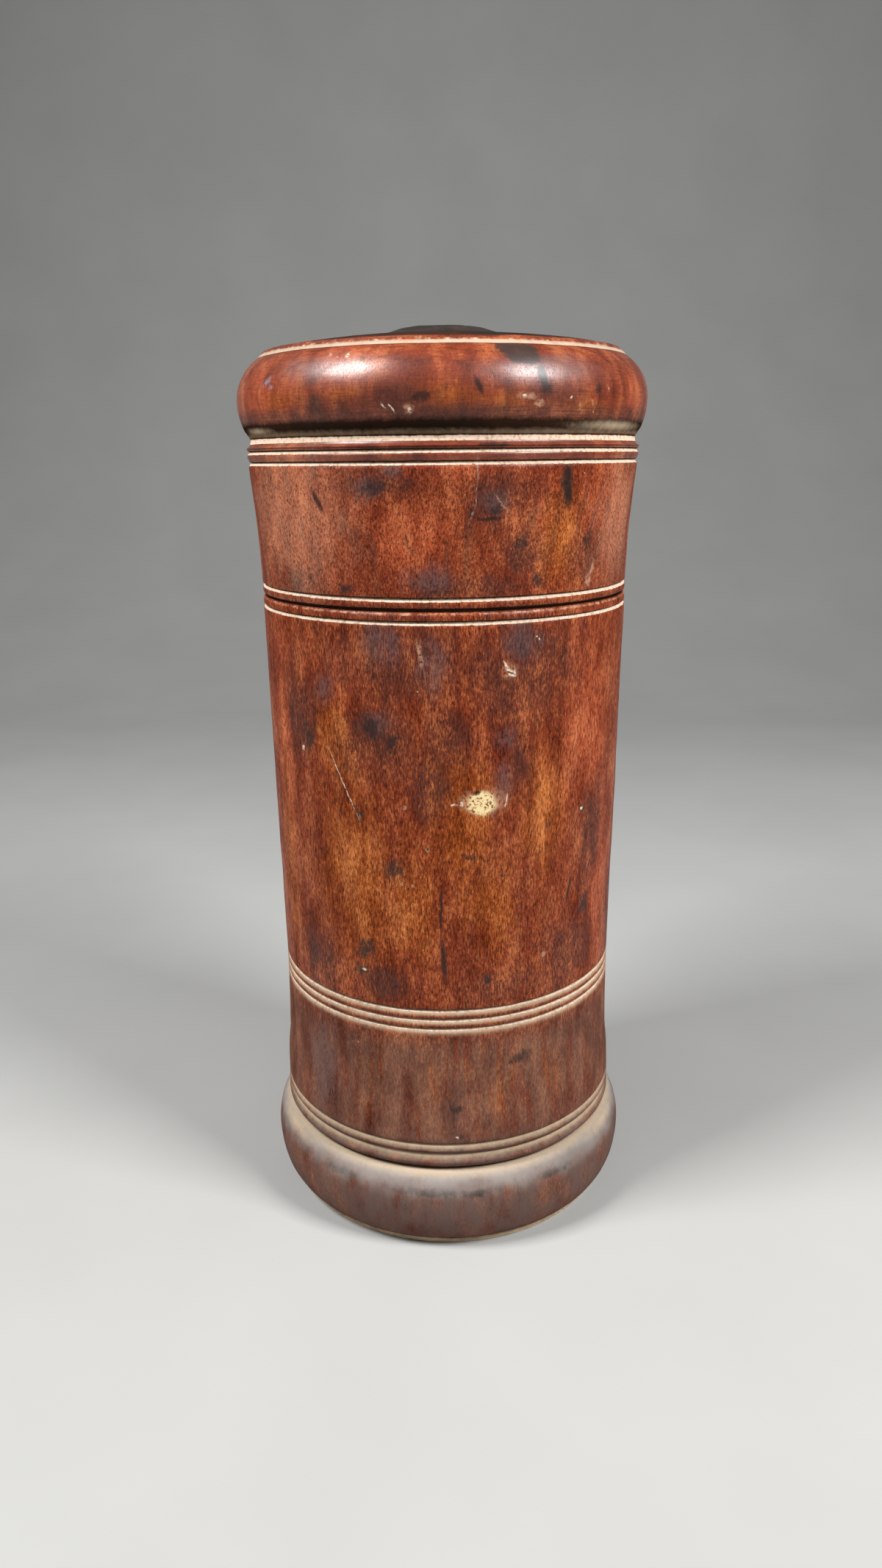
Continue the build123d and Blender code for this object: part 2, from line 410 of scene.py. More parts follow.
def smooth_radius(stations, height):
    """Radius at a height on a smooth line through stations of radius and height."""
    slopes = []
    for place in range(len(stations)):
        before = stations[max(0, place - 1)]
        after = stations[min(len(stations) - 1, place + 1)]
        slopes.append((after[0] - before[0]) / (after[1] - before[1]))
    for place in range(len(stations) - 1):
        low, high = stations[place], stations[place + 1]
        if height <= high[1] or place == len(stations) - 2:
            length = high[1] - low[1]
            leave = length * slopes[place]
            arrive = length * slopes[place + 1]
            t = (height - low[1]) / length
            start = (2 * t ** 3 - 3 * t ** 2 + 1) * low[0] + (t ** 3 - 2 * t ** 2 + t) * leave
            end = (3 * t ** 2 - 2 * t ** 3) * high[0] + (t ** 3 - t ** 2) * arrive
            return start + end
    raise RuntimeError("no station holds this height")


def rising(height, low, high):
    """How far a height has risen from a low one to a high one, both in millimetres, from 0 to 1."""
    return min(1.0, max(0.0, (height / MM - low) / (high - low)))


def plain(height):
    """Waxed wood with nothing on it."""
    return {}


def unwaxed(height):
    """Bare wood, as inside the lid."""
    return {"bare": 1.0}


def foot_finish(height):
    """Dust on the foot's upper slope, dried polish at its top, and darker towards its bottom."""
    return {"dust": rising(height, 15.6, 24.4), "tan": 0.9 * rising(height, 22.4, 24.6),
            "grime": 0.55 * rising(height, 9.0, 1.6)}


def bead_finish(height):
    """Dust on the upper half of the lowest bead, and painted shade in the quirk under it."""
    return {"tan": 0.22 * rising(height, 26.8, 28.2), "grime": rising(height, 26.2, 24.9)}


def moulding_underside_shade(height):
    """Painted shade on the underside of the fat moulding, above the cove."""
    return {"grime": rising(height, 226.0, 223.2)}


def jar_outline(sizes):
    """The body's outline, from the underside up its outer wall, over the spigot and down its bore."""
    line = Outline()
    lip = jar_low.z
    bore = sizes.bore_radius
    # The underside, with painted shade where it sits on the base disc
    line.to(bore, lip, bare=1.0)
    line.along((sizes.underside_radius - 0.4 * MM, lip), 3, bare=1.0, grime=0.6)

    # The rounded foot, darker towards its bottom, and the quirk above it, with painted shade in the quirk
    swell = sizes.foot_swell_height
    foot_top = sizes.foot_height
    line.arc((sizes.underside_radius, swell), (sizes.foot_radius - sizes.underside_radius, swell - lip),
             -90, 0, 18, foot_finish)
    line.arc((sizes.shoulder_radius, swell), (sizes.foot_radius - sizes.shoulder_radius, foot_top - swell),
             6, 90, 18, foot_finish)
    quirk = (sizes.shoulder_radius - 1.0 * MM, foot_top + 0.12 * MM)
    line.to(quirk[0] + 0.25 * MM, foot_top + 0.02 * MM, tan=0.9)
    line.to(*quirk, grime=1.0)

    # Two beads, each with a turned line above it
    bead = sizes.base_bead_radius
    low_bead = bead - 0.25 * MM
    depth = sizes.groove_depth
    first = foot_top + 4.6 * MM
    second = first + 3.2 * MM
    line.bead(quirk, bead, (low_bead, first - LINE_BELOW), 10, bead_finish)
    line.groove(low_bead, first, depth, 0.0, 0.85, 0.16 * MM)
    line.to(bead + 0.10 * MM, second - 1.50 * MM, tan=0.15)
    line.groove(bead, second, depth, 0.0, 0.85, 0.16 * MM)

    # The wall narrows to three turned lines, and widens again to the rim
    waist = sizes.waist_radius
    low_line = 67.6 * MM
    pitch = 2.75 * MM
    rise = low_line - second
    drop = bead - waist
    line.wall([(bead, second + LINE_ABOVE), (bead - drop * 0.16, second + rise * 0.22),
               (bead - drop * 0.75, second + rise * 0.45), (waist, low_line - LINE_BELOW)])
    for place in range(3):
        line.groove(waist, low_line + pitch * place, depth, 0.80, 1.0, 0.10 * MM)
    high_line = low_line + pitch * 2
    rim = sizes.rim_radius
    joint = sizes.joint_height
    rim_line = joint - 3.0 * MM
    rise = rim_line - high_line
    gain = rim - waist
    line.wall([(waist, high_line + LINE_ABOVE), (waist + gain * 0.20, high_line + rise * 0.25),
               (waist + gain * 0.48, high_line + rise * 0.46),
               (waist + gain * 0.74, high_line + rise * 0.76), (rim, rim_line - LINE_BELOW)])
    line.groove(rim, rim_line, depth)
    # The rim's upper edge: a painted highlight along its round, and painted shade in the gap under the lid
    line.steps(rim, joint, (
        (0.02, -1.10, {}), (0.0, -1.05, {"rub": 0.25}), (-0.14, -0.62, {"rub": 0.55}),
        (-0.38, -0.30, {"rub": 0.35}), (-0.62, -0.14, {"grime": 0.7}), (-0.95, 0.0, {"grime": 1.0})))

    # The shoulder, with painted shade under the lid's rim, the spigot and the bore
    spigot = sizes.spigot_radius
    top = sizes.spigot_top
    line.along((spigot, joint), 4, bare=1.0, grime=0.6)
    line.along((spigot, top - 0.8 * MM), 12, bare=1.0)
    line.to(spigot - 0.8 * MM, top, bare=1.0)
    line.along((bore + 0.5 * MM, top), 4, bare=1.0)
    line.to(bore, top - 0.5 * MM, bare=1.0)
    line.along((bore, lip), 40, bare=1.0)
    return line


def lid_outline(jar, sizes):
    """The lid's outline, from its ceiling down the socket, round its rim and up its wall to the seat."""
    line = Outline()
    bore = jar.bore_radius
    ceiling = sizes.ceiling_height
    corner = 5.0 * MM
    socket = sizes.socket_radius
    socket_top = jar.spigot_top + 0.7 * MM
    joint = jar.joint_height
    line.to(0.0, ceiling, bare=1.0)
    line.along((bore - corner, ceiling), 12, bare=1.0)
    line.arc((bore - corner, ceiling - corner), (corner, corner), 75, 0, 6, unwaxed)
    line.along((bore, socket_top), 20, bare=1.0)
    line.along((socket, socket_top), 3, bare=1.0)
    line.along((socket, joint), 12, bare=1.0)

    # The rim, with painted shade at its lower edge in the joint, and the flared wall between its turned
    # lines
    rim = jar.rim_radius
    line.along((rim - 1.0 * MM, joint), 3, bare=1.0, grime=0.6)
    line.steps(rim, joint, (
        (-0.62, 0.22, {"grime": 1.0}), (-0.24, 0.55, {"grime": 0.9}), (-0.05, 0.90, {"grime": 0.3})))
    depth = jar.groove_depth
    fillet = sizes.fillet_radius
    rim_line = joint + 2.6 * MM
    first = sizes.line_height
    second = first + 2.7 * MM
    rise = first - rim_line
    gain = sizes.line_radius - rim
    line.groove(rim + 0.02 * MM, rim_line, depth)
    line.wall([(rim, rim_line + LINE_ABOVE), (rim + gain * 0.31, rim_line + rise * 0.5),
               (sizes.line_radius, first - LINE_BELOW)])
    line.groove(sizes.line_radius, first, depth)
    line.groove(fillet - 0.2 * MM, second, depth)

    # The cove: a hollow quarter round in from the fillet, and a slope out under the fat moulding, with
    # painted shade at its top and on the slope
    cove = sizes.cove_radius
    fillet_top = second + 1.4 * MM
    half = 2.2 * MM
    middle = fillet_top + half
    undercut = 1.45 * MM
    line.to(fillet, fillet_top - 0.20 * MM)
    for step, cream in enumerate((0.0, 0.0, 0.0, 0.1, 1.0, 1.0, 0.45)):
        turned = math.radians(90 * step / 6)
        line.to(fillet - (fillet - cove) * math.sin(turned),
                middle - (middle - fillet_top) * math.cos(turned),
                cream=cream, grime=0.9 if step == 6 else 0.0)
    for step, tan in enumerate((0.40, 0.42, 0.30, 0.15, 0.0, 0.0), start=1):
        line.to(cove + undercut * step / 6, middle + half * step / 6,
                tan=tan, grime=min(1.0, 0.5 + 0.12 * step))

    # The fat moulding: one round below its widest place, with painted shade underneath, and one above
    swell = sizes.swell_radius
    swell_height = sizes.swell_height
    crown = sizes.crown_radius
    crown_height = sizes.crown_height
    reach = swell - (cove + undercut)
    fall = swell_height - middle - half
    round_low = (reach ** 2 + fall ** 2) / (2 * reach)
    line.arc((swell - round_low, swell_height), (round_low, round_low),
             -math.degrees(math.asin(fall / round_low)), 0, 12, moulding_underside_shade)
    reach = swell - crown
    rise = crown_height - swell_height
    round_high = (reach ** 2 + rise ** 2) / (2 * reach)
    line.arc((swell - round_high, swell_height), (round_high, round_high),
             3, math.degrees(math.asin(rise / round_high)), 22, plain)

    # The step round the top, with painted shade where it meets the moulding, the dome and the hole for the
    # button's tenon
    step_radius, step_height, _ = line.points.pop()
    line.to(step_radius, step_height, grime=0.7)
    line.steps(crown, crown_height, (
        (-0.22, 0.20, {"dust": 0.7, "tan": 0.75}), (-0.62, 0.60, {"dust": 0.7, "tan": 0.75}),
        (-0.86, 0.90, {"dust": 0.5, "tan": 0.6, "cream": 0.52}), (-1.08, 1.14, {"cream": 0.52, "rub": 0.5}),
        (-1.30, 1.36, {"rub": 0.35}), (-1.66, 1.74, {"rub": 0.2}), (-1.90, 1.95, {"soot": 0.4})))
    edge, edge_height, _ = line.points[-1]
    seat = sizes.seat_height
    dome_steps = 24
    for step in range(1, dome_steps + 1):
        share = step / dome_steps
        line.to(edge + (sizes.button_radius - edge) * share,
                edge_height + (seat - edge_height) * (1 - (1 - share) ** 1.74), soot=1.0)
    hole = 6.1 * MM
    hole_floor = seat - 8.0 * MM
    line.along((hole, seat), 4, soot=1.0)
    line.along((hole, hole_floor), 4, bare=1.0)
    line.to(0.0, hole_floor, bare=1.0)
    return line


def button_outline(lid):
    """The button's outline, from the end of its tenon up over its worn top."""
    line = Outline()
    tenon = 6.0 * MM
    button = lid.button_radius
    seat = lid.seat_height
    shoulder = (button - 8.0 * MM, lid.button_top - 0.3 * MM)
    line.to(0.0, button_low.z, bare=1.0)
    line.to(tenon, button_low.z, bare=1.0)
    line.along((tenon, seat), 4, bare=1.0)
    line.along((button - 0.15 * MM, seat), 4, soot=1.0)
    line.to(button, seat + 0.12 * MM, soot=1.0)
    line.to(button - 0.25 * MM, seat + 0.35 * MM, soot=0.9, rub=0.2)
    line.along((shoulder[0] + 1.0 * MM, shoulder[1] - 0.32 * MM), 8, soot=1.0)
    line.to(*shoulder, soot=0.7, rub=0.7)
    line.to(shoulder[0] - 1.0 * MM, shoulder[1] + 0.10 * MM, soot=1.0)
    line.along((0.0, lid.button_top), 8, soot=1.0)
    return line


def base_outline(jar):
    """The base disc's outline: a lip under the foot and a plug that fills the bore."""
    line = Outline()
    # The lip stands out as far as the strip that shows under the foot
    lip = base_high.x + 1.3 * MM
    lip_top = jar_low.z
    plug = jar.bore_radius - 0.1 * MM
    round_off = 0.15 * MM
    line.to(0.0, 0.0, dust=0.5)
    line.along((lip - round_off, 0.0), 10, dust=0.5)
    line.to(lip, round_off, dust=0.4)
    # Painted shade where the lip meets the foot's underside
    line.along((lip, lip_top - 0.35 * MM), 3, dust=0.4, grime=0.25)
    line.to(lip - round_off, lip_top, grime=1.0)
    line.to(lip - 0.80 * MM, lip_top, grime=1.0)
    line.along((plug, lip_top), 3)
    line.along((plug, base_high.z), 4)
    line.along((0.0, base_high.z), 10)
    return line


# Turning and weathering


def turn(name, outline, steps):
    """Turns an outline about the upright axis into a closed piece, and keeps its finishes as attributes."""
    bpy.ops.object.select_all(action="DESELECT")
    bpy.ops.mesh.primitive_plane_add(size=1.0 * MM, location=(0, 0, 0))
    piece = bpy.context.object
    piece.name = name
    piece.data.name = name
    points = outline.points
    bpy.ops.object.mode_set(mode="EDIT")
    bpy.ops.mesh.select_all(action="SELECT")
    bpy.ops.mesh.merge(type="CENTER")
    bpy.ops.transform.translate(value=(points[0][0], 0, points[0][1]))
    for before, after in zip(points, points[1:]):
        move = (after[0] - before[0], 0, after[1] - before[1])
        bpy.ops.mesh.extrude_vertices_move(TRANSFORM_OT_translate={"value": move})
    bpy.ops.object.mode_set(mode="OBJECT")
    if len(piece.data.vertices) != len(points):
        raise RuntimeError(f"{name} has {len(piece.data.vertices)} points of {len(points)}")
    for finish in FINISHES:
        layer = piece.data.attributes.new(name=finish, type="FLOAT", domain="POINT")
        for place, point in enumerate(points):
            layer.data[place].value = point[2].get(finish, 0.0)
    worn = piece.vertex_groups.new(name="worn")
    for place, point in enumerate(points):
        worn.add([place], 1.0 - point[2].get("bare", 0.0), "REPLACE")
    bpy.ops.object.mode_set(mode="EDIT")
    bpy.ops.mesh.select_all(action="SELECT")
    bpy.ops.mesh.spin(steps=steps, angle=math.tau, center=(0, 0, 0), axis=(0, 0, 1))
    bpy.ops.mesh.select_all(action="SELECT")
    bpy.ops.mesh.remove_doubles(threshold=MERGE_WITHIN)
    bpy.ops.mesh.normals_make_consistent(inside=False)
    bpy.ops.object.mode_set(mode="OBJECT")
    return piece


def weather(piece, dents):
    """Wears the outside of a turned piece slightly uneven, in dents of each given size and depth."""
    for size, depth in dents:
        texture = bpy.data.textures.new(f"{piece.name}_dents", "CLOUDS")
        texture.noise_scale = size
        texture.noise_depth = 2
        wear = piece.modifiers.new("dents", "DISPLACE")
        wear.texture = texture
        wear.texture_coords = "LOCAL"
        wear.vertex_group = "worn"
        wear.strength = depth
        wear.mid_level = 0.5
        bpy.context.view_layer.objects.active = piece
        bpy.ops.object.modifier_apply(modifier=wear.name)


def paint_patches(piece, patches):
    """Paints soft patches on a piece's points, each 1 at its middle, 0 at its edge and less outside.

    A patch named for one of the outline's finishes adds to it.
    """
    count = len(piece.data.vertices)
    places = numpy.empty(count * 3)
    piece.data.vertices.foreach_get("co", places)
    x, y, z = places.reshape(count, 3).T
    angles = numpy.arctan2(x, -y)
    for name, spots in patches.items():
        level = numpy.full(count, -1.0)
        for angle, height, half_width, half_height, tilt in spots:
            turned = math.radians(tilt)
            across = ((angles - math.radians(angle) + math.pi) % math.tau - math.pi) * FLAT_RADIUS
            along = z - height * MM
            wide = (across * math.cos(turned) + along * math.sin(turned)) / (half_width * MM)
            tall = (along * math.cos(turned) - across * math.sin(turned)) / (half_height * MM)
            level = numpy.maximum(level, 1.0 - numpy.hypot(wide, tall))
        layer = piece.data.attributes.get(name)
        if layer is None:
            layer = piece.data.attributes.new(name=name, type="FLOAT", domain="POINT")
        else:
            turned_in = numpy.empty(count)
            layer.data.foreach_get("value", turned_in)
            level = numpy.maximum(level, turned_in)
        layer.data.foreach_set("value", level)


def complete(piece, material, node, body):
    """Smooths a piece, gives it its material and puts it in the place of its node."""
    bpy.ops.object.select_all(action="DESELECT")
    piece.select_set(True)
    bpy.context.view_layer.objects.active = piece
    bpy.ops.object.shade_smooth_by_angle(angle=SMOOTH_BELOW)
    piece.data.materials.clear()
    piece.data.materials.append(material)
    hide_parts(node)
    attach(piece, body)


# Materials


def add(tree, kind, sockets=None, output=0, stops=(), **settings):
    """Adds a node, sets it, links each socket that is given an output, and gives one of its own outputs."""
    node = tree.nodes.new(kind)
    for name, value in settings.items():
        setattr(node, name, value)
    for place, (position, colour) in enumerate(stops):
        elements = node.color_ramp.elements
        element = elements[place] if place < 2 else elements.new(position)
        element.position = position
        element.color = (*colour, 1.0)
    for key, value in (sockets or {}).items():
        if isinstance(value, bpy.types.NodeSocket):
            tree.links.new(value, node.inputs[key])
        else:
            node.inputs[key].default_value = value
    return node.outputs[output] if node.outputs else None


def start_material(name):
    """Makes a material with an empty tree, and gives both with the piece's own coordinates."""
    material = bpy.data.materials.new(name)
    material.use_nodes = True
    tree = material.node_tree
    tree.nodes.clear()
    return material, tree, add(tree, "ShaderNodeTexCoord", output="Object")


def close_material(tree, surface, gloss):
    """Shades a layered surface of wood; gloss holds the sockets that say how it shines."""
    bump = add(tree, "ShaderNodeBump", {"Strength": 0.7, "Distance": 1.0, "Height": surface["height"]})
    shader = add(tree, "ShaderNodeBsdfPrincipled",
                 {"Base Color": surface["colour"], "Roughness": surface["rough"], "Normal": bump,
                  "IOR": WOOD_IOR, **gloss})
    add(tree, "ShaderNodeOutputMaterial", {"Surface": shader})


def lay(tree, under, where, colour, roughness, full=1.0, lift=0.0):
    """Lays a finish over a surface, and builds it up by a height.

    Each entry of where is a value, the level where the finish sets in and the level where it is whole.
    The finish lies where every entry lets it. Its colour is a plain one or a node's.
    """
    mask = None
    for value, start, whole in where:
        share = add(tree, "ShaderNodeMapRange", {"Value": value, "From Min": start, "From Max": whole,
                    "To Max": full if mask is None else 1.0}, interpolation_type="SMOOTHSTEP")
        if mask is not None:
            share = add(tree, "ShaderNodeMath", {0: mask, 1: share}, operation="MULTIPLY")
        mask = share
    if not isinstance(colour, bpy.types.NodeSocket):
        colour = (*colour, 1.0)
    colour = add(tree, "ShaderNodeMix",
                 {MIX_FACTOR: mask, MIX_COLOUR_A: under["colour"], MIX_COLOUR_B: colour},
                 MIX_COLOUR_RESULT, data_type="RGBA")
    rough = add(tree, "ShaderNodeMix",
                {MIX_FACTOR: mask, MIX_FLOAT_A: under["rough"], MIX_FLOAT_B: roughness}, data_type="FLOAT")
    height = under["height"]
    if lift:
        height = add(tree, "ShaderNodeMath", {0: mask, 1: lift, 2: height}, operation="MULTIPLY_ADD")
    return {"colour": colour, "rough": rough, "height": height}


def marked(tree, wall, marks, core, edge):
    """Where marks lie on the wall laid flat, whole within a core and gone at an edge."""
    nearest = None
    for angle, height, half_width, half_height, tilt in marks:
        centre = (math.radians(angle) * FLAT_RADIUS, height * MM, 0)
        local = add(tree, "ShaderNodeMapping",
                    {"Vector": wall, "Location": centre, "Rotation": (0, 0, math.radians(tilt)),
                     "Scale": (half_width * MM, half_height * MM, 1)}, vector_type="TEXTURE")
        reach = add(tree, "ShaderNodeVectorMath", {0: local}, "Value", operation="LENGTH")
        if nearest is not None:
            reach = add(tree, "ShaderNodeMath", {0: reach, 1: nearest}, operation="MINIMUM")
        nearest = reach
    return (nearest, edge, core)


def lay_marks(tree, surface, marks, rows):
    """Lays the marks of a piece as each row says, and passes over a kind of mark that it hasn't got."""
    for name, wall, core, edge, breaks, colour, roughness, full, lift in rows:
        if name in marks:
            where = [marked(tree, wall, marks[name], core, edge)] + breaks
            surface = lay(tree, surface, where, colour, roughness, full, lift)
    return surface


def finish_at(tree, name, noise, wander, start, whole):
    """Where one of the outline's finishes lies, with an edge that wanders with a noise."""
    level = add(tree, "ShaderNodeAttribute", output="Fac", attribute_type="GEOMETRY", attribute_name=name)
    shifted = add(tree, "ShaderNodeMath", {0: noise, 1: wander, 2: level}, operation="MULTIPLY_ADD")
    return [(shifted, start + wander / 2, whole + wander / 2), (level, 0.02, 0.12)]


def patch_at(tree, name, noise, wander, start, whole):
    """Where the painted patches of a name lie, with an edge that wanders with a noise."""
    return finish_at(tree, name, noise, wander, start, whole)[:1]


# Places of patches and marks: degrees from the front, height, half width and half height in millimetres,
# and tilt in degrees. A kind of patch with no places is still painted, so that its level is low all over.

JAR_PATCHES = {
    "golden": [(-30, 112, 15, 34, 4), (-12, 104, 9, 20, 0), (5, 128, 9, 28, 0), (14, 103, 9, 18, 0),
               (-36, 148, 7, 16, 0), (30, 130, 9, 26, 0), (-6, 50, 6, 15, 0), (-62, 110, 7, 40, 0),
               (14, 50, 9, 15, 0), (-24, 52, 8, 15, 0), (36, 50, 8, 14, 0), (165, 120, 30, 40, 0),
               (-120, 100, 18, 30, 0)],
    "red": [(48, 150, 11, 28, 0), (-60, 140, 7, 30, 0), (62, 100, 8, 26, 0), (-32, 164, 6, 9, 0),
            (120, 130, 26, 40, 0), (-150, 150, 20, 26, 0)],
    "dusk_and_shade": [(-14, 169, 26, 13, 0), (22, 165, 22, 16, 0), (-20, 147, 13, 11, 0), (-50, 152, 8, 16, 0),
             (42, 84, 12, 12, 0), (-46, 82, 10, 10, 0), (2, 149, 9, 10, 0), (52, 118, 8, 16, 0),
             (-5, 136, 6, 9, 0), (20, 80, 14, 6, 0), (-20, 80, 10, 6, 0), (22, 142, 5, 12, 0),
             (90, 90, 20, 18, 0), (-100, 160, 24, 18, 0), (180, 80, 24, 12, 0)],
    "sheen_and_wear": [(-140, 120, 20, 30, 0)],
    "bloom_and_sheen": [(-17, 172, 9, 7, 0), (23, 172, 10, 7, 0), (-3, 168, 6, 8, 0), (17, 148, 4, 5, 0),
              (-38, 160, 5, 6, 0), (17, 138, 3, 8, 0), (-20, 152, 6, 5, 0), (-48, 50, 9, 16, 0)],
    "tar": [],
    "tan": [(-64, 23.2, 20, 2.8, 0), (64, 23.2, 18, 2.4, 0)],
    "stain": [(-46, 146, 3.0, 5, 8), (-15.8, 113.5, 3.6, 3.4, 0), (6.8, 117.4, 2.4, 1.6, 20),
              (17.2, 111.7, 1.2, 1.1, 0), (50, 97, 2.6, 3.8, 0), (-26.2, 89.5, 3.6, 3.6, 20),
              (-28, 83, 3.0, 2.2, 0), (23.8, 57.4, 4.2, 2.0, 10), (2.1, 44, 2.2, 1.8, 0),
              (3.9, 35.4, 1.1, 1.0, 0), (-27, 128, 1.8, 2.6, 25), (12, 82, 1.4, 2.4, -20),
              (46.6, 125.6, 1.6, 1.4, 0), (-22, 151, 3.0, 4.0, 10), (-16, 148, 2.6, 3.2, -10),
              (-36, 20.5, 8, 1.6, 0), (-8, 19.6, 9, 1.3, 0), (8, 19.4, 6, 1.3, 0), (34, 20, 7, 1.3, 0)],
}

JAR_MARKS = {
    "scuff": [(18.4, 165.2, 2.2, 2.2, 0), (-26.8, 127, 0.18, 2.6, 10), (18.5, 120.5, 0.4, 0.9, 0),
              (-14.1, 109.6, 0.5, 0.5, 0), (-10.3, 109.2, 0.45, 0.4, 0), (32.1, 86.7, 1.1, 0.8, 0),
              (-12, 130.5, 0.9, 0.7, 20), (-7, 170, 0.7, 4.5, 10), (-5.6, 119.6, 0.8, 0.8, 0),
              (12.6, 132.0, 5.6, 3.9, -6), (6.6, 132.4, 3.0, 3.0, 0)],
    "chalk": [(17.2, 167.0, 0.3, 1.2, 35), (18.2, 165.5, 1.3, 0.35, -25), (18.9, 164.3, 1.3, 0.35, -15),
              (19.6, 165.1, 0.3, 0.8, 30), (17.8, 132.0, 0.2, 2.8, -8), (-32.0, 135.2, 0.17, 10.6, 26.3),
              (26.6, 173.3, 0.3, 0.25, 0), (27.5, 172.7, 0.25, 0.35, 20), (-48.6, 142.8, 0.6, 0.9, 0),
              (46.6, 125.6, 0.6, 0.5, 0), (-13.4, 109.8, 0.4, 0.4, 0), (-27.3, 83.6, 0.8, 0.5, 0),
              (2.6, 35.2, 0.5, 0.5, 0), (4.4, 131.7, 0.5, 0.9, 0), (2.2, 131.6, 1.0, 0.35, 0)],
    "line": [(-1.9, 102, 0.4, 7.5, -2), (-1.2, 88, 0.95, 7.5, 3), (42, 104, 0.5, 3.8, -15)],
    "paint": [(10.4, 131.6, 3.7, 3.2, -6)],
    "pit": [(18.4, 164.9, 1.2, 0.22, -20), (8.8, 134.5, 1.3, 0.7, 20), (13.0, 131.6, 0.4, 0.6, 0),
            (-5.6, 119.6, 0.42, 0.42, 0), (8.0, 129.6, 0.5, 0.4, 0), (11.4, 130.6, 0.3, 0.3, 0),
            (10.2, 133.0, 0.4, 0.3, 0)],
}

LID_PATCHES = {
    "golden": [(34, 198, 7, 16, 0), (-46, 229, 7, 3, 0), (-24, 230, 6, 2, 0), (2, 228.5, 9, 4, 0),
               (16, 227, 8, 4, 0), (40, 226, 7, 3, 0), (170, 200, 30, 12, 0), (-120, 232, 20, 6, 0)],
    "red": [(-56, 230, 18, 9, 0), (-40, 202, 18, 18, 0), (54, 204, 12, 18, 0), (-26, 237, 8, 4, 0),
            (62, 230, 6, 6, 0), (0, 213, 26, 3, 0), (-8, 198, 14, 9, 0), (30, 206, 6, 9, 0),
            (110, 205, 24, 14, 0), (130, 232, 20, 8, 0)],
    "dusk_and_shade": [(-18, 210, 12, 5, 0), (15, 207, 11, 8, 0), (-28, 226, 16, 4, 0), (-14, 228, 12, 4, 0),
             (42, 192, 6, 6, 0), (-46, 186, 6, 4, 0), (6, 186, 14, 3, 0), (28, 229, 8, 3, 0),
             # The last patch is a ring of painted shade round the underside of the fat moulding
             (22, 194, 6, 6, 0), (90, 190, 18, 9, 0), (-110, 206, 20, 8, 0), (0, 225.4, 260, 2.2, 0)],
    # The faded patches at the lid's left and right are painted sheen from the softboxes
    "sheen_and_wear": [(-46, 202, 20, 22, 0), (60, 200, 12, 18, 0), (140, 200, 20, 12, 0)],
    "tan": [(52, 222.8, 22, 1.7, 0), (-62, 222.4, 12, 1.2, 0)],
    "bloom_and_sheen": [(-20, 209, 6, 4, 0), (14, 206, 5, 4, 0), (-4, 188, 9, 4, 0), (-14, 213, 5, 2, 0),
              # The last two patches here are painted reflections of the softboxes on the moulding's upper
              # round
              (-34, 236, 16, 3.4, 0), (30, 236, 14, 3.2, 0)],
    "tar": [(19.0, 239.4, 5.6, 1.6, 0), (20.5, 237.6, 4.4, 2.0, 0), (24.6, 233.6, 1.2, 2.4, 8),
            (17.0, 243.6, 12, 1.0, 0)],
    "stain": [(25.4, 231.4, 1.6, 2.6, 8), (-5, 229, 2.6, 1.3, 10), (34.6, 208.6, 2.2, 5.6, 6),
              (13, 218.5, 6.0, 0.7, 0), (26.3, 187.1, 1.8, 2.2, 0), (-28.2, 185.4, 3.0, 1.3, 8),
              (-41.3, 188.2, 1.0, 2.2, 0), (-18.2, 209, 3.6, 2.2, 15), (44, 196, 2.4, 3.0, 0),
              (-2, 184.8, 3.6, 0.7, 0), (21, 196, 2.0, 2.6, 0), (14, 204, 2.0, 2.0, 0),
              (42, 231, 1.4, 1.6, 0)],
}

LID_MARKS = {
    "scuff": [(46.8, 188.6, 0.7, 2.6, -22), (45.6, 185.9, 1.2, 2.2, -22), (20.6, 228.9, 2.8, 0.9, 0),
              (14.8, 205.7, 0.25, 2.4, 35), (16.0, 204.6, 0.2, 1.8, 30), (24, 227.6, 1.4, 0.7, 0),
              (-30, 238.8, 0.5, 0.5, 0), (-8.3, 226.4, 1.3, 1.2, 20), (40, 228, 0.3, 1.2, 20),
              (46, 231, 0.3, 1.0, 10), (36, 227, 0.3, 1.1, 0)],
    "chalk": [(-14.5, 227.2, 0.22, 1.4, 40), (-12.4, 226.6, 0.22, 1.2, 35), (-8.0, 226.2, 0.4, 0.5, 20),
              (-24.7, 238.2, 0.6, 0.5, 0), (19.6, 229.2, 0.6, 0.4, 0), (33, 229, 0.3, 0.4, 0)],
    "line": [(34.1, 211.2, 1.7, 3.4, 4), (35.4, 206.8, 1.2, 3.2, 8), (12, 201.9, 3.4, 0.5, 3),
             (8.5, 231.2, 0.7, 2.4, 25), (-36, 206, 0.8, 3.4, 30)],
    "crack": [(8.6, 213.5, 0.26, 3.6, 1), (8.4, 207.4, 0.2, 3.2, -2), (7.2, 202.6, 0.22, 2.2, -24)],
    "blue": [(-51, 233.5, 2.1, 0.9, 30), (-49, 232.2, 1.0, 0.5, 20)],
}


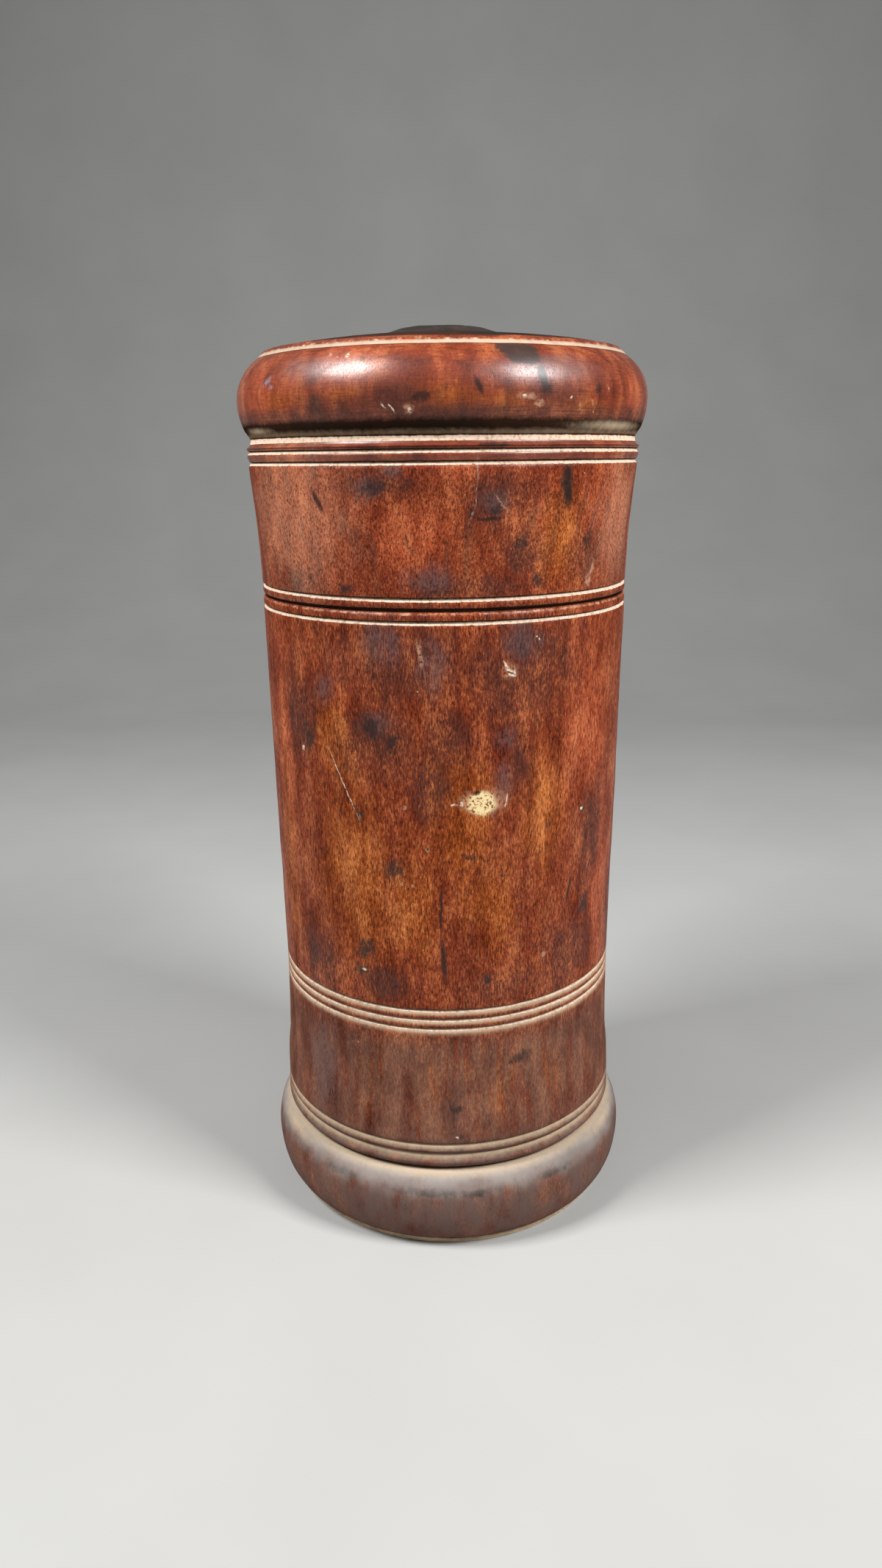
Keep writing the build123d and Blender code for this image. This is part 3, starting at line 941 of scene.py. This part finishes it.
def waxed_hardwood(name, colours, marks, figure, gloss, squeeze, dull_below=0.0, turned_above=ABOVE_ALL):
    """Waxed hardwood, turned fine and handled for a long time.

    It shows short upright dashes of grain, a mottled red-brown ground worn golden where hands held it, a
    soft wax gloss, and dry finishes where polish, dust and dirt have settled. Painted shade lies in the
    recesses and under the moulding, and painted highlights and sheen on edges and on the lid. Figure is how
    dark its lines of growth are, gloss how far the wax shines and squeeze how short the dashes are. The wax
    has gone below one height, and the grain lies along the turning above another.
    """
    material, tree, place = start_material(name)

    # The wall laid flat: metres round it from the front, and height
    axes = add(tree, "ShaderNodeSeparateXYZ", {0: place}).node.outputs
    up = axes["Z"]
    front = add(tree, "ShaderNodeMath", {0: axes["Y"], 1: -1.0}, operation="MULTIPLY")
    angle = add(tree, "ShaderNodeMath", {0: axes["X"], 1: front}, operation="ARCTAN2")
    around = add(tree, "ShaderNodeMath", {0: angle, 1: FLAT_RADIUS}, operation="MULTIPLY")
    wall = add(tree, "ShaderNodeCombineXYZ", {0: around, 1: up})

    # Coordinates stretched upwards, from a little to a lot, and stretched along the turning
    steep, upright, thin, long, flat = (
        add(tree, "ShaderNodeMapping", {"Vector": vector, "Scale": scale})
        for vector, scale in (
            (place, (1, 1, 0.4)), (place, (1, 1, squeeze)), (place, (1, 1, squeeze * 0.6)),
            (place, (1, 1, 0.07)), (wall, (0.08, 1, 1))))

    # Noises, by the width in mm of what they draw, their detail, their roughness and their bend: frayed
    # edges, patches, settled dust, fine breaks, pores, dashes of grain, mottling, streaks, lines of the
    # turning and smudges
    coarse, patchy, settled, fine, pore, fleck, mottle, streak, lathe, smudge = (
        add(tree, "ShaderNodeTexNoise", {"Vector": vector, "Scale": 1 / (width * MM), "Detail": detail,
            "Roughness": roughness, "Distortion": bend})
        for vector, width, detail, roughness, bend in (
            (place, 1.8, 4.0, 0.7, 0.0), (steep, 8, 6.0, 0.72, 0.0), (place, 6, 6.0, 0.5, 0.0),
            (place, 0.9, 3.0, 0.7, 0.0), (thin, 0.28, 1.0, 0.5, 0.0), (upright, 0.45, 3.0, 0.8, 0.0),
            (steep, 7, 5.0, 0.62, 0.0), (long, 2, 4.0, 0.6, 0.0), (flat, 0.4, 3.0, 0.6, 0.0),
            (steep, 5, 6.0, 0.74, 0.3)))

    # The wall frayed by 1 mm and torn by 2.6 mm, for the edges of marks
    fray = add(tree, "ShaderNodeVectorMath", {0: coarse.node.outputs["Color"], 1: (0.5, 0.5, 0.5)},
               operation="SUBTRACT")
    frayed, torn = (
        add(tree, "ShaderNodeVectorMath", {0: fray, 1: (reach * MM,) * 3, 2: wall},
            operation="MULTIPLY_ADD")
        for reach in (1.0, 2.6))

    # Grain: upright dashes, fainter where the wax has gone, and calmer and along the turning near the top
    above = add(tree, "ShaderNodeMapRange", {"Value": up, "From Min": turned_above,
                "From Max": turned_above + 2 * MM, "To Max": 0.6})
    grain = add(tree, "ShaderNodeMix", {MIX_FACTOR: above, MIX_FLOAT_A: fleck, MIX_FLOAT_B: lathe},
                data_type="FLOAT")
    grain = add(tree, "ShaderNodeMath", {0: grain, 1: 0.5}, operation="SUBTRACT")
    strength = add(tree, "ShaderNodeMapRange", {"Value": up, "From Min": dull_below - 8 * MM,
                   "From Max": dull_below + 2 * MM, "To Min": 0.75, "To Max": 1.0})
    strength = add(tree, "ShaderNodeMath", {0: above, 1: -0.5, 2: strength}, operation="MULTIPLY_ADD")
    grain = add(tree, "ShaderNodeMath", {0: grain, 1: strength}, operation="MULTIPLY")

    # Tone: how light the wood is, from its mottling, its streaks and its grain
    tone = add(tree, "ShaderNodeMath", {0: mottle, 1: 1.2, 2: -0.10}, operation="MULTIPLY_ADD")
    streaky = add(tree, "ShaderNodeMath", {0: streak, 1: 0.5}, operation="SUBTRACT")
    share = add(tree, "ShaderNodeMath", {0: above, 1: -0.5, 2: 0.40}, operation="MULTIPLY_ADD")
    tone = add(tree, "ShaderNodeMath", {0: streaky, 1: share, 2: tone}, operation="MULTIPLY_ADD")
    tone = add(tree, "ShaderNodeMath", {0: grain, 1: 1.5, 2: tone}, operation="MULTIPLY_ADD")

    # Woods by their tone: brown, golden, red, dull where the wax has gone, and bare
    wood, warm, ruddy, dry, raw = (
        add(tree, "ShaderNodeValToRGB", {0: tone}, stops=stops) for stops in (
            [(0.12, colours.shade), (0.92, colours.light), (0.5, colours.ground)],
            [(0.12, colours.shade), (0.92, colours.golden_light), (0.48, colours.golden)],
            [(0.10, colours.shade), (0.92, colours.red_light), (0.48, colours.red)],
            [(0.15, [c * 0.46 for c in colours.dull]), (0.92, colours.dull_light), (0.5, colours.dull)],
            [(0.10, [c * 0.4 for c in colours.bare]), (0.85, colours.bare)]))

    # Ground: brown, and in soft patches red or golden, or darkened by handling and by painted shade
    worn = add(tree, "ShaderNodeMapRange", {"Value": mottle, "From Min": 0.3, "From Max": 0.7,
               "To Min": 0.57, "To Max": 0.49})
    worn = add(tree, "ShaderNodeMath", {0: above, 1: -0.25, 2: worn}, operation="MULTIPLY_ADD")
    rise = add(tree, "ShaderNodeMath", {0: grain, 1: 0.06 * MM}, operation="MULTIPLY")
    surface = {"colour": wood, "rough": worn, "height": rise}
    surface = lay(tree, surface, patch_at(tree, "red", patchy, 2.2, -0.3, 0.7), ruddy, worn, 0.9)
    surface = lay(tree, surface, patch_at(tree, "golden", patchy, 2.4, -0.2, 0.9), warm, worn, 0.9)
    dusk_and_shade = patch_at(tree, "dusk_and_shade", patchy, 2.4, -0.3, 0.8) + [(tone, 1.0, 0.2)]
    surface = lay(tree, surface, dusk_and_shade, colours.dusk_and_shade, 0.5, 0.85)

    # Figure: thin dark lines of growth about a heart behind the piece, leaning a little
    heart = add(tree, "ShaderNodeMapping", {"Vector": place, "Location": (-6 * MM, -34 * MM, 0),
                "Rotation": (math.radians(-9), math.radians(3), 0), "Scale": (1, 1, 0)})
    depth = add(tree, "ShaderNodeVectorMath", {0: heart}, "Value", operation="LENGTH")
    wavy = add(tree, "ShaderNodeMath", {0: mottle, 1: 2.6 * MM, 2: depth}, operation="MULTIPLY_ADD")
    ring = add(tree, "ShaderNodeMath", {0: wavy, 1: 1.1 * MM}, operation="PINGPONG")
    ringed = [(ring, 0.5 * MM, 0.02 * MM), (streak, 0.40, 0.62)]
    surface = lay(tree, surface, ringed, colours.pore, 0.42, figure)
    pores = [(pore, 0.54, 0.62), (strength, 0.4, 1.0)]
    surface = lay(tree, surface, pores, colours.pore, 0.58, 0.58, -0.03 * MM)
    surface = lay(tree, surface, [(lathe, 0.56, 0.68), (above, 0.25, 0.55)], colours.pore, 0.45, 0.5)

    # Dull brown where the wax has gone, in upright streaks, and a grey film on the foot
    waxless = [(up, dull_below + 5 * MM, dull_below - 6 * MM), (streak, 0.18, 0.55)]
    surface = lay(tree, surface, waxless, dry, 0.62, 0.84)
    surface = lay(tree, surface, [(up, 37 * MM, 29 * MM), (patchy, 0.32, 0.64)], colours.film, 0.6, 0.88)

    # Wax worn pale and painted sheen, haze in the wax with painted reflections of the softboxes on the
    # lid's moulding, smudges all over, and the stains that have a place
    sheen_and_wear = patch_at(tree, "sheen_and_wear", patchy, 2.0, -0.3, 0.8) + [(fleck, 0.30, 0.60)]
    surface = lay(tree, surface, sheen_and_wear, colours.scuff, 0.5, 0.34)
    haze = patch_at(tree, "bloom_and_sheen", patchy, 2.4, -0.1, 0.9) + [(fleck, 0.36, 0.62)]
    surface = lay(tree, surface, haze, colours.bloom_and_sheen, 0.5, 0.7)
    surface = lay(tree, surface, [(smudge, 0.58, 0.72)], colours.stain, 0.48, 0.55)
    stain = patch_at(tree, "stain", coarse, 2.6, -0.1, 0.7) + [(tone, 1.3, 0.5)]
    surface = lay(tree, surface, stain, colours.stain, 0.46, 0.8)
    tar = patch_at(tree, "tar", coarse, 0.9, -0.05, 0.25)
    surface = lay(tree, surface, tar, colours.soot, 0.46, 0.9)
    surface = lay_marks(tree, surface, marks, [
        ("line", frayed, 0.4, 1.3, [], colours.stain, 0.5, 0.85, 0.0)])

    # Small pale specks, one here and there in cells 6 mm wide
    cell = add(tree, "ShaderNodeTexVoronoi", {"Vector": place, "Scale": 1 / (6 * MM)}).node.outputs
    chosen = add(tree, "ShaderNodeSeparateColor", {0: cell["Color"]})
    specks = [(cell["Distance"], 0.05, 0.02), (chosen, 0.58, 0.66)]
    surface = lay(tree, surface, specks, colours.scuff, 0.7, 0.8)

    # The scuffs, white nicks and cracks that have a place
    surface = lay_marks(tree, surface, marks, [
        ("scuff", torn, 0.3, 1.2, [(fine, 0.36, 0.56)], colours.scuff, 0.65, 0.6, 0.0),
        ("chalk", frayed, 0.5, 1.2, [(fine, 0.38, 0.52)], colours.chalk, 0.8, 0.95, 0.0),
        ("crack", frayed, 0.4, 1.3, [(fine, 0.38, 0.60)], colours.dust, 0.8, 0.55, -0.12 * MM)])

    # What has settled or worn along the turning, from the outline's own finishes, with painted shade in the
    # recesses and a painted highlight on the rim's edge
    for finish, noise, wander, start, whole, colour, roughness, full in (
            ("rub", coarse, 1.6, 0.35, 0.75, colours.scuff, 0.5, 0.75),
            ("soot", settled, 1.9, 0.05, 0.95, colours.soot, 0.66, 0.94),
            ("grime", coarse, 0.6, 0.25, 0.85, colours.grime, 0.62, 0.94),
            ("dust", settled, 0.9, 0.12, 1.05, colours.dust, 0.9, 0.85),
            ("tan", coarse, 0.7, 0.0, 1.2, colours.tan, 0.95, 0.9)):
        where = finish_at(tree, finish, noise, wander, start, whole)
        surface = lay(tree, surface, where, colour, roughness, full)
    dried = add(tree, "ShaderNodeValToRGB", {0: fine},
                stops=[(0.30, colours.cream_shade), (0.52, colours.cream)])
    cream = finish_at(tree, "cream", coarse, 0.5, 0.50, 0.70) + [(patchy, 0.22, 0.32)]
    surface = lay(tree, surface, cream, dried, 0.92, 1.0, 0.10 * MM)

    # Spots of paint and their pits
    surface = lay_marks(tree, surface, marks, [
        ("paint", torn, 0.7, 1.2, [(fine, 0.38, 0.48)], colours.paint, 0.55, 0.96, 0.12 * MM),
        ("pit", frayed, 0.5, 1.2, [], colours.pore, 0.6, 0.8, -0.1 * MM),
        ("blue", frayed, 0.3, 1.2, [(fine, 0.36, 0.54)], colours.blue, 0.6, 0.7, 0.0)])

    # Bare wood inside: dry, paler and without marks
    bare = finish_at(tree, "bare", coarse, 0.0, 0.4, 0.6)
    surface = lay(tree, surface, bare, raw, 0.75)
    surface = lay(tree, surface, bare + [(pore, 0.52, 0.66)], colours.pore, 0.8, 0.45)
    surface = lay(tree, surface, bare + [(lathe, 0.52, 0.70)], colours.pore, 0.8, 0.35, -0.05 * MM)

    # Only smooth places have wax left to shine
    shine = add(tree, "ShaderNodeMapRange", {"Value": surface["rough"], "From Min": 0.60, "From Max": 0.36,
                "To Max": gloss})
    close_material(tree, surface,
                   {"Specular IOR Level": shine, "Coat Weight": shine, "Coat Roughness": 0.28})
    return material


def blackened_hardwood(name, colours):
    """The same hardwood blackened by handling and smoke: dull, with pale chips where its edge has broken.

    The chips fray over 2.2 mm, and the black is mottled over 5 mm.
    """
    material, tree, place = start_material(name)
    coarse, mottle = (
        add(tree, "ShaderNodeTexNoise", {"Vector": place, "Scale": 1 / (width * MM), "Detail": detail,
            "Roughness": roughness})
        for width, detail, roughness in ((2.2, 4.0, 0.65), (5, 5.0, 0.66)))
    black = add(tree, "ShaderNodeValToRGB", {0: mottle},
                stops=[(0.35, colours.grime), (0.72, colours.dusk_and_shade), (0.54, colours.soot)])
    rough = add(tree, "ShaderNodeMapRange", {"Value": mottle, "From Min": 0.3, "From Max": 0.7,
                "To Min": 0.58, "To Max": 0.76})
    rise = add(tree, "ShaderNodeMath", {0: mottle, 1: 0.15 * MM}, operation="MULTIPLY")
    surface = {"colour": black, "rough": rough, "height": rise}
    chips = finish_at(tree, "rub", coarse, 2.4, 0.62, 0.95)
    surface = lay(tree, surface, chips, colours.tan, 0.8, 0.7, -0.05 * MM)
    close_material(tree, surface, {"Specular IOR Level": 0.25})
    return material


def dry_pale_wood(name, colours):
    """Bare sawn wood of the base disc: pale, dry and dusty, with a straight grain along X.

    The grain is 1.1 mm wide, and what lies on it frays over 3 mm.
    """
    material, tree, place = start_material(name)
    sawn = add(tree, "ShaderNodeMapping", {"Vector": place, "Scale": (0.08, 1, 1)})
    grain, coarse = (
        add(tree, "ShaderNodeTexNoise", {"Vector": vector, "Scale": 1 / (width * MM), "Detail": detail,
            "Roughness": 0.65})
        for vector, width, detail in ((sawn, 1.1, 5.0), (place, 3, 4.0)))
    wood = add(tree, "ShaderNodeValToRGB", {0: grain},
               stops=[(0.30, [c * 0.5 for c in colours.disc]), (0.68, colours.disc)])
    rough = add(tree, "ShaderNodeMapRange", {"Value": coarse, "From Min": 0.3, "From Max": 0.7,
                "To Min": 0.7, "To Max": 0.9})
    rise = add(tree, "ShaderNodeMath", {0: grain, 1: 0.12 * MM}, operation="MULTIPLY")
    surface = {"colour": wood, "rough": rough, "height": rise}
    dust = finish_at(tree, "dust", coarse, 0.8, 0.3, 0.9)
    surface = lay(tree, surface, dust, colours.tan, 0.95, 0.6)
    # Painted shade where the disc meets the foot
    grime = finish_at(tree, "grime", coarse, 0.9, 0.2, 0.7)
    surface = lay(tree, surface, grime, colours.grime, 0.8, 0.7)
    close_material(tree, surface, {})
    return material


def matt_paper(name, colour):
    """Pale matt studio paper, uneven over 90 mm and without gloss."""
    material, tree, place = start_material(name)
    uneven = add(tree, "ShaderNodeTexNoise", {"Vector": place, "Scale": 1 / (90 * MM), "Detail": 3.0})
    paper = add(tree, "ShaderNodeValToRGB", {0: uneven},
                stops=[(0.3, [c * 0.94 for c in colour]), (0.7, colour)])
    shader = add(tree, "ShaderNodeBsdfPrincipled",
                 {"Base Color": paper, "Roughness": 0.95, "Specular IOR Level": 0.1})
    add(tree, "ShaderNodeOutputMaterial", {"Surface": shader})
    return material


# Stage


def select_edges(piece, chosen):
    """Selects the edges of a piece that have both ends chosen, and leaves it in edit mode."""
    bpy.ops.object.mode_set(mode="EDIT")
    bpy.ops.mesh.select_mode(type="EDGE")
    bpy.ops.mesh.select_all(action="DESELECT")
    bpy.ops.object.mode_set(mode="OBJECT")
    for edge in piece.data.edges:
        edge.select = all(chosen(piece.data.vertices[place].co) for place in edge.vertices)
    bpy.ops.object.mode_set(mode="EDIT")


def lay_paper(colour):
    """Lays the floor and raises a backdrop from its far edge, with a round between them."""
    bpy.ops.object.select_all(action="DESELECT")
    bpy.ops.mesh.primitive_plane_add(size=PAPER_SIZE, location=(0, PAPER_MIDDLE, 0))
    paper = bpy.context.object
    paper.name = "studio_paper"
    paper.data.name = "studio_paper"
    bpy.ops.object.transform_apply(location=True, rotation=True, scale=True)
    far = PAPER_MIDDLE + PAPER_SIZE / 2 - 1.0 * MM
    select_edges(paper, lambda end: end.y > far)
    bpy.ops.mesh.extrude_region_move(TRANSFORM_OT_translate={"value": (0, 0, BACKDROP_HEIGHT)})
    select_edges(paper, lambda end: end.y > far and end.z < 1.0 * MM)
    bpy.ops.mesh.bevel(offset=BACKDROP_ROUND, segments=24, affect="EDGES")
    bpy.ops.object.mode_set(mode="OBJECT")
    bpy.ops.object.shade_smooth()
    paper.data.materials.append(matt_paper("matt_paper", colour))


def hang_lamps(power, size):
    """Hangs the softboxes round the front of the jar, each turned to face it."""
    for name, azimuth, elevation in SOFTBOXES:
        turned = math.radians(azimuth)
        lift = math.radians(elevation)
        across = math.cos(lift)
        away = Vector((math.sin(turned) * across, -math.cos(turned) * across, math.sin(lift)))
        place = Vector((0, 0, LAMP_AIM)) + away * LAMP_DISTANCE
        facing = away.to_track_quat("Z", "Y").to_euler()
        bpy.ops.object.light_add(type="AREA", location=place, rotation=facing)
        lamp = bpy.context.object
        lamp.name = name
        lamp.data.name = name
        lamp.data.shape = "SQUARE"
        lamp.data.size = size
        lamp.data.energy = power


def fill_light(level):
    """Adds an even white light from all around."""
    world = bpy.data.worlds.new("studio_fill")
    bpy.context.scene.world = world
    world.use_nodes = True
    tree = world.node_tree
    tree.nodes.clear()
    sky = add(tree, "ShaderNodeBackground", {"Color": (1, 1, 1, 1), "Strength": level})
    add(tree, "ShaderNodeOutputWorld", {"Surface": sky})


def place_camera(stage):
    """Places the camera in front of the jar, tipped down and leaning as the stage says."""
    tilt = Matrix.Rotation(math.radians(90) - stage.camera_dip, 3, "X")
    roll = Matrix.Rotation(stage.camera_roll, 3, "Z")
    bpy.ops.object.camera_add(location=stage.camera_place, rotation=(tilt @ roll).to_euler())
    camera = bpy.context.object
    camera.name = "camera"
    camera.data.lens = stage.lens
    camera.data.sensor_width = SENSOR_WIDTH
    camera.data.sensor_fit = "AUTO"
    camera.data.clip_start = NEAR_CLIP
    bpy.context.scene.camera = camera


# Operators


class AddJarBody(bpy.types.Operator):
    """Turns the jar's body, with its foot, turned lines and spigot"""

    bl_idname = "turned_jar.add_jar_body"
    bl_label = "Add jar body"

    def execute(self, context):
        settings = context.scene.turned_jar
        piece = turn("jar_body_turned", jar_outline(settings.jar), settings.steps)
        weather(piece, WALL_DENTS)
        paint_patches(piece, JAR_PATCHES)
        material = waxed_hardwood("waxed_hardwood_jar", settings.colours, JAR_MARKS,
                                  figure=0.22, gloss=0.4, squeeze=0.3, dull_below=66 * MM)
        complete(piece, material, "jar_body", "jar")
        return {"FINISHED"}


class AddBaseDisc(bpy.types.Operator):
    """Turns the pale disc that closes the jar's base"""

    bl_idname = "turned_jar.add_base_disc"
    bl_label = "Add base disc"

    def execute(self, context):
        settings = context.scene.turned_jar
        piece = turn("base_disc_turned", base_outline(settings.jar), settings.steps)
        material = dry_pale_wood("dry_pale_wood", settings.colours)
        complete(piece, material, "base_disc", "jar")
        return {"FINISHED"}


class AddLid(bpy.types.Operator):
    """Turns the deep lid, with its flared wall, cove, fat moulding and domed top"""

    bl_idname = "turned_jar.add_lid"
    bl_label = "Add lid"

    def execute(self, context):
        settings = context.scene.turned_jar
        piece = turn("lid_turned", lid_outline(settings.jar, settings.lid), settings.steps)
        weather(piece, WALL_DENTS)
        paint_patches(piece, LID_PATCHES)
        material = waxed_hardwood("waxed_hardwood_lid", settings.colours, LID_MARKS,
                                  figure=0.45, gloss=0.5, squeeze=0.5, turned_above=213.4 * MM)
        complete(piece, material, "lid", "lid")
        return {"FINISHED"}


class AddLidButton(bpy.types.Operator):
    """Turns the low worn button in the middle of the lid's top"""

    bl_idname = "turned_jar.add_lid_button"
    bl_label = "Add lid button"

    def execute(self, context):
        settings = context.scene.turned_jar
        piece = turn("lid_button_turned", button_outline(settings.lid), settings.steps)
        weather(piece, BUTTON_DENTS)
        material = blackened_hardwood("blackened_hardwood", settings.colours)
        complete(piece, material, "lid_button", "lid")
        return {"FINISHED"}


class SetStage(bpy.types.Operator):
    """Sets up the pale floor, the two softboxes, the fill light and the camera"""

    bl_idname = "turned_jar.set_stage"
    bl_label = "Set stage"

    def execute(self, context):
        stage = context.scene.turned_jar.stage
        lay_paper(stage.floor)
        hang_lamps(stage.lamp_power, stage.lamp_size)
        fill_light(stage.fill_level)
        place_camera(stage)
        context.scene.view_settings.view_transform = "Standard"
        return {"FINISHED"}


class TurnedJarPanel(bpy.types.Panel):
    """Lists the jar's pieces, in the order they are made"""

    bl_idname = "VIEW3D_PT_turned_jar"
    bl_label = "Turned jar"
    bl_space_type = "VIEW_3D"
    bl_region_type = "UI"
    bl_category = "Turned jar"

    def draw(self, context):
        settings = context.scene.turned_jar
        for operator in (AddJarBody, AddBaseDisc, AddLid, AddLidButton, SetStage):
            self.layout.operator(operator.bl_idname)
        for group in (settings.jar, settings.lid, settings.colours, settings.stage):
            box = self.layout.box()
            for name in group.__annotations__:
                box.prop(group, name)


CLASSES = (JarSizes, LidSizes, FinishColours, StageSettings, TurnedJar, AddJarBody, AddBaseDisc, AddLid,
           AddLidButton, SetStage, TurnedJarPanel)


def register():
    """Registers the settings, the operators and the panel."""
    for entry in CLASSES:
        bpy.utils.register_class(entry)
    bpy.types.Scene.turned_jar = PointerProperty(type=TurnedJar, name="Turned jar", description="Settings")


def unregister():
    """Takes the settings, the operators and the panel away again."""
    del bpy.types.Scene.turned_jar
    for entry in reversed(CLASSES):
        bpy.utils.unregister_class(entry)


def main():
    """Makes the pieces and the stage."""
    register()
    bpy.ops.turned_jar.add_jar_body()
    bpy.ops.turned_jar.add_base_disc()
    bpy.ops.turned_jar.add_lid()
    bpy.ops.turned_jar.add_lid_button()
    bpy.ops.turned_jar.set_stage()


if __name__ == "__main__":
    main()
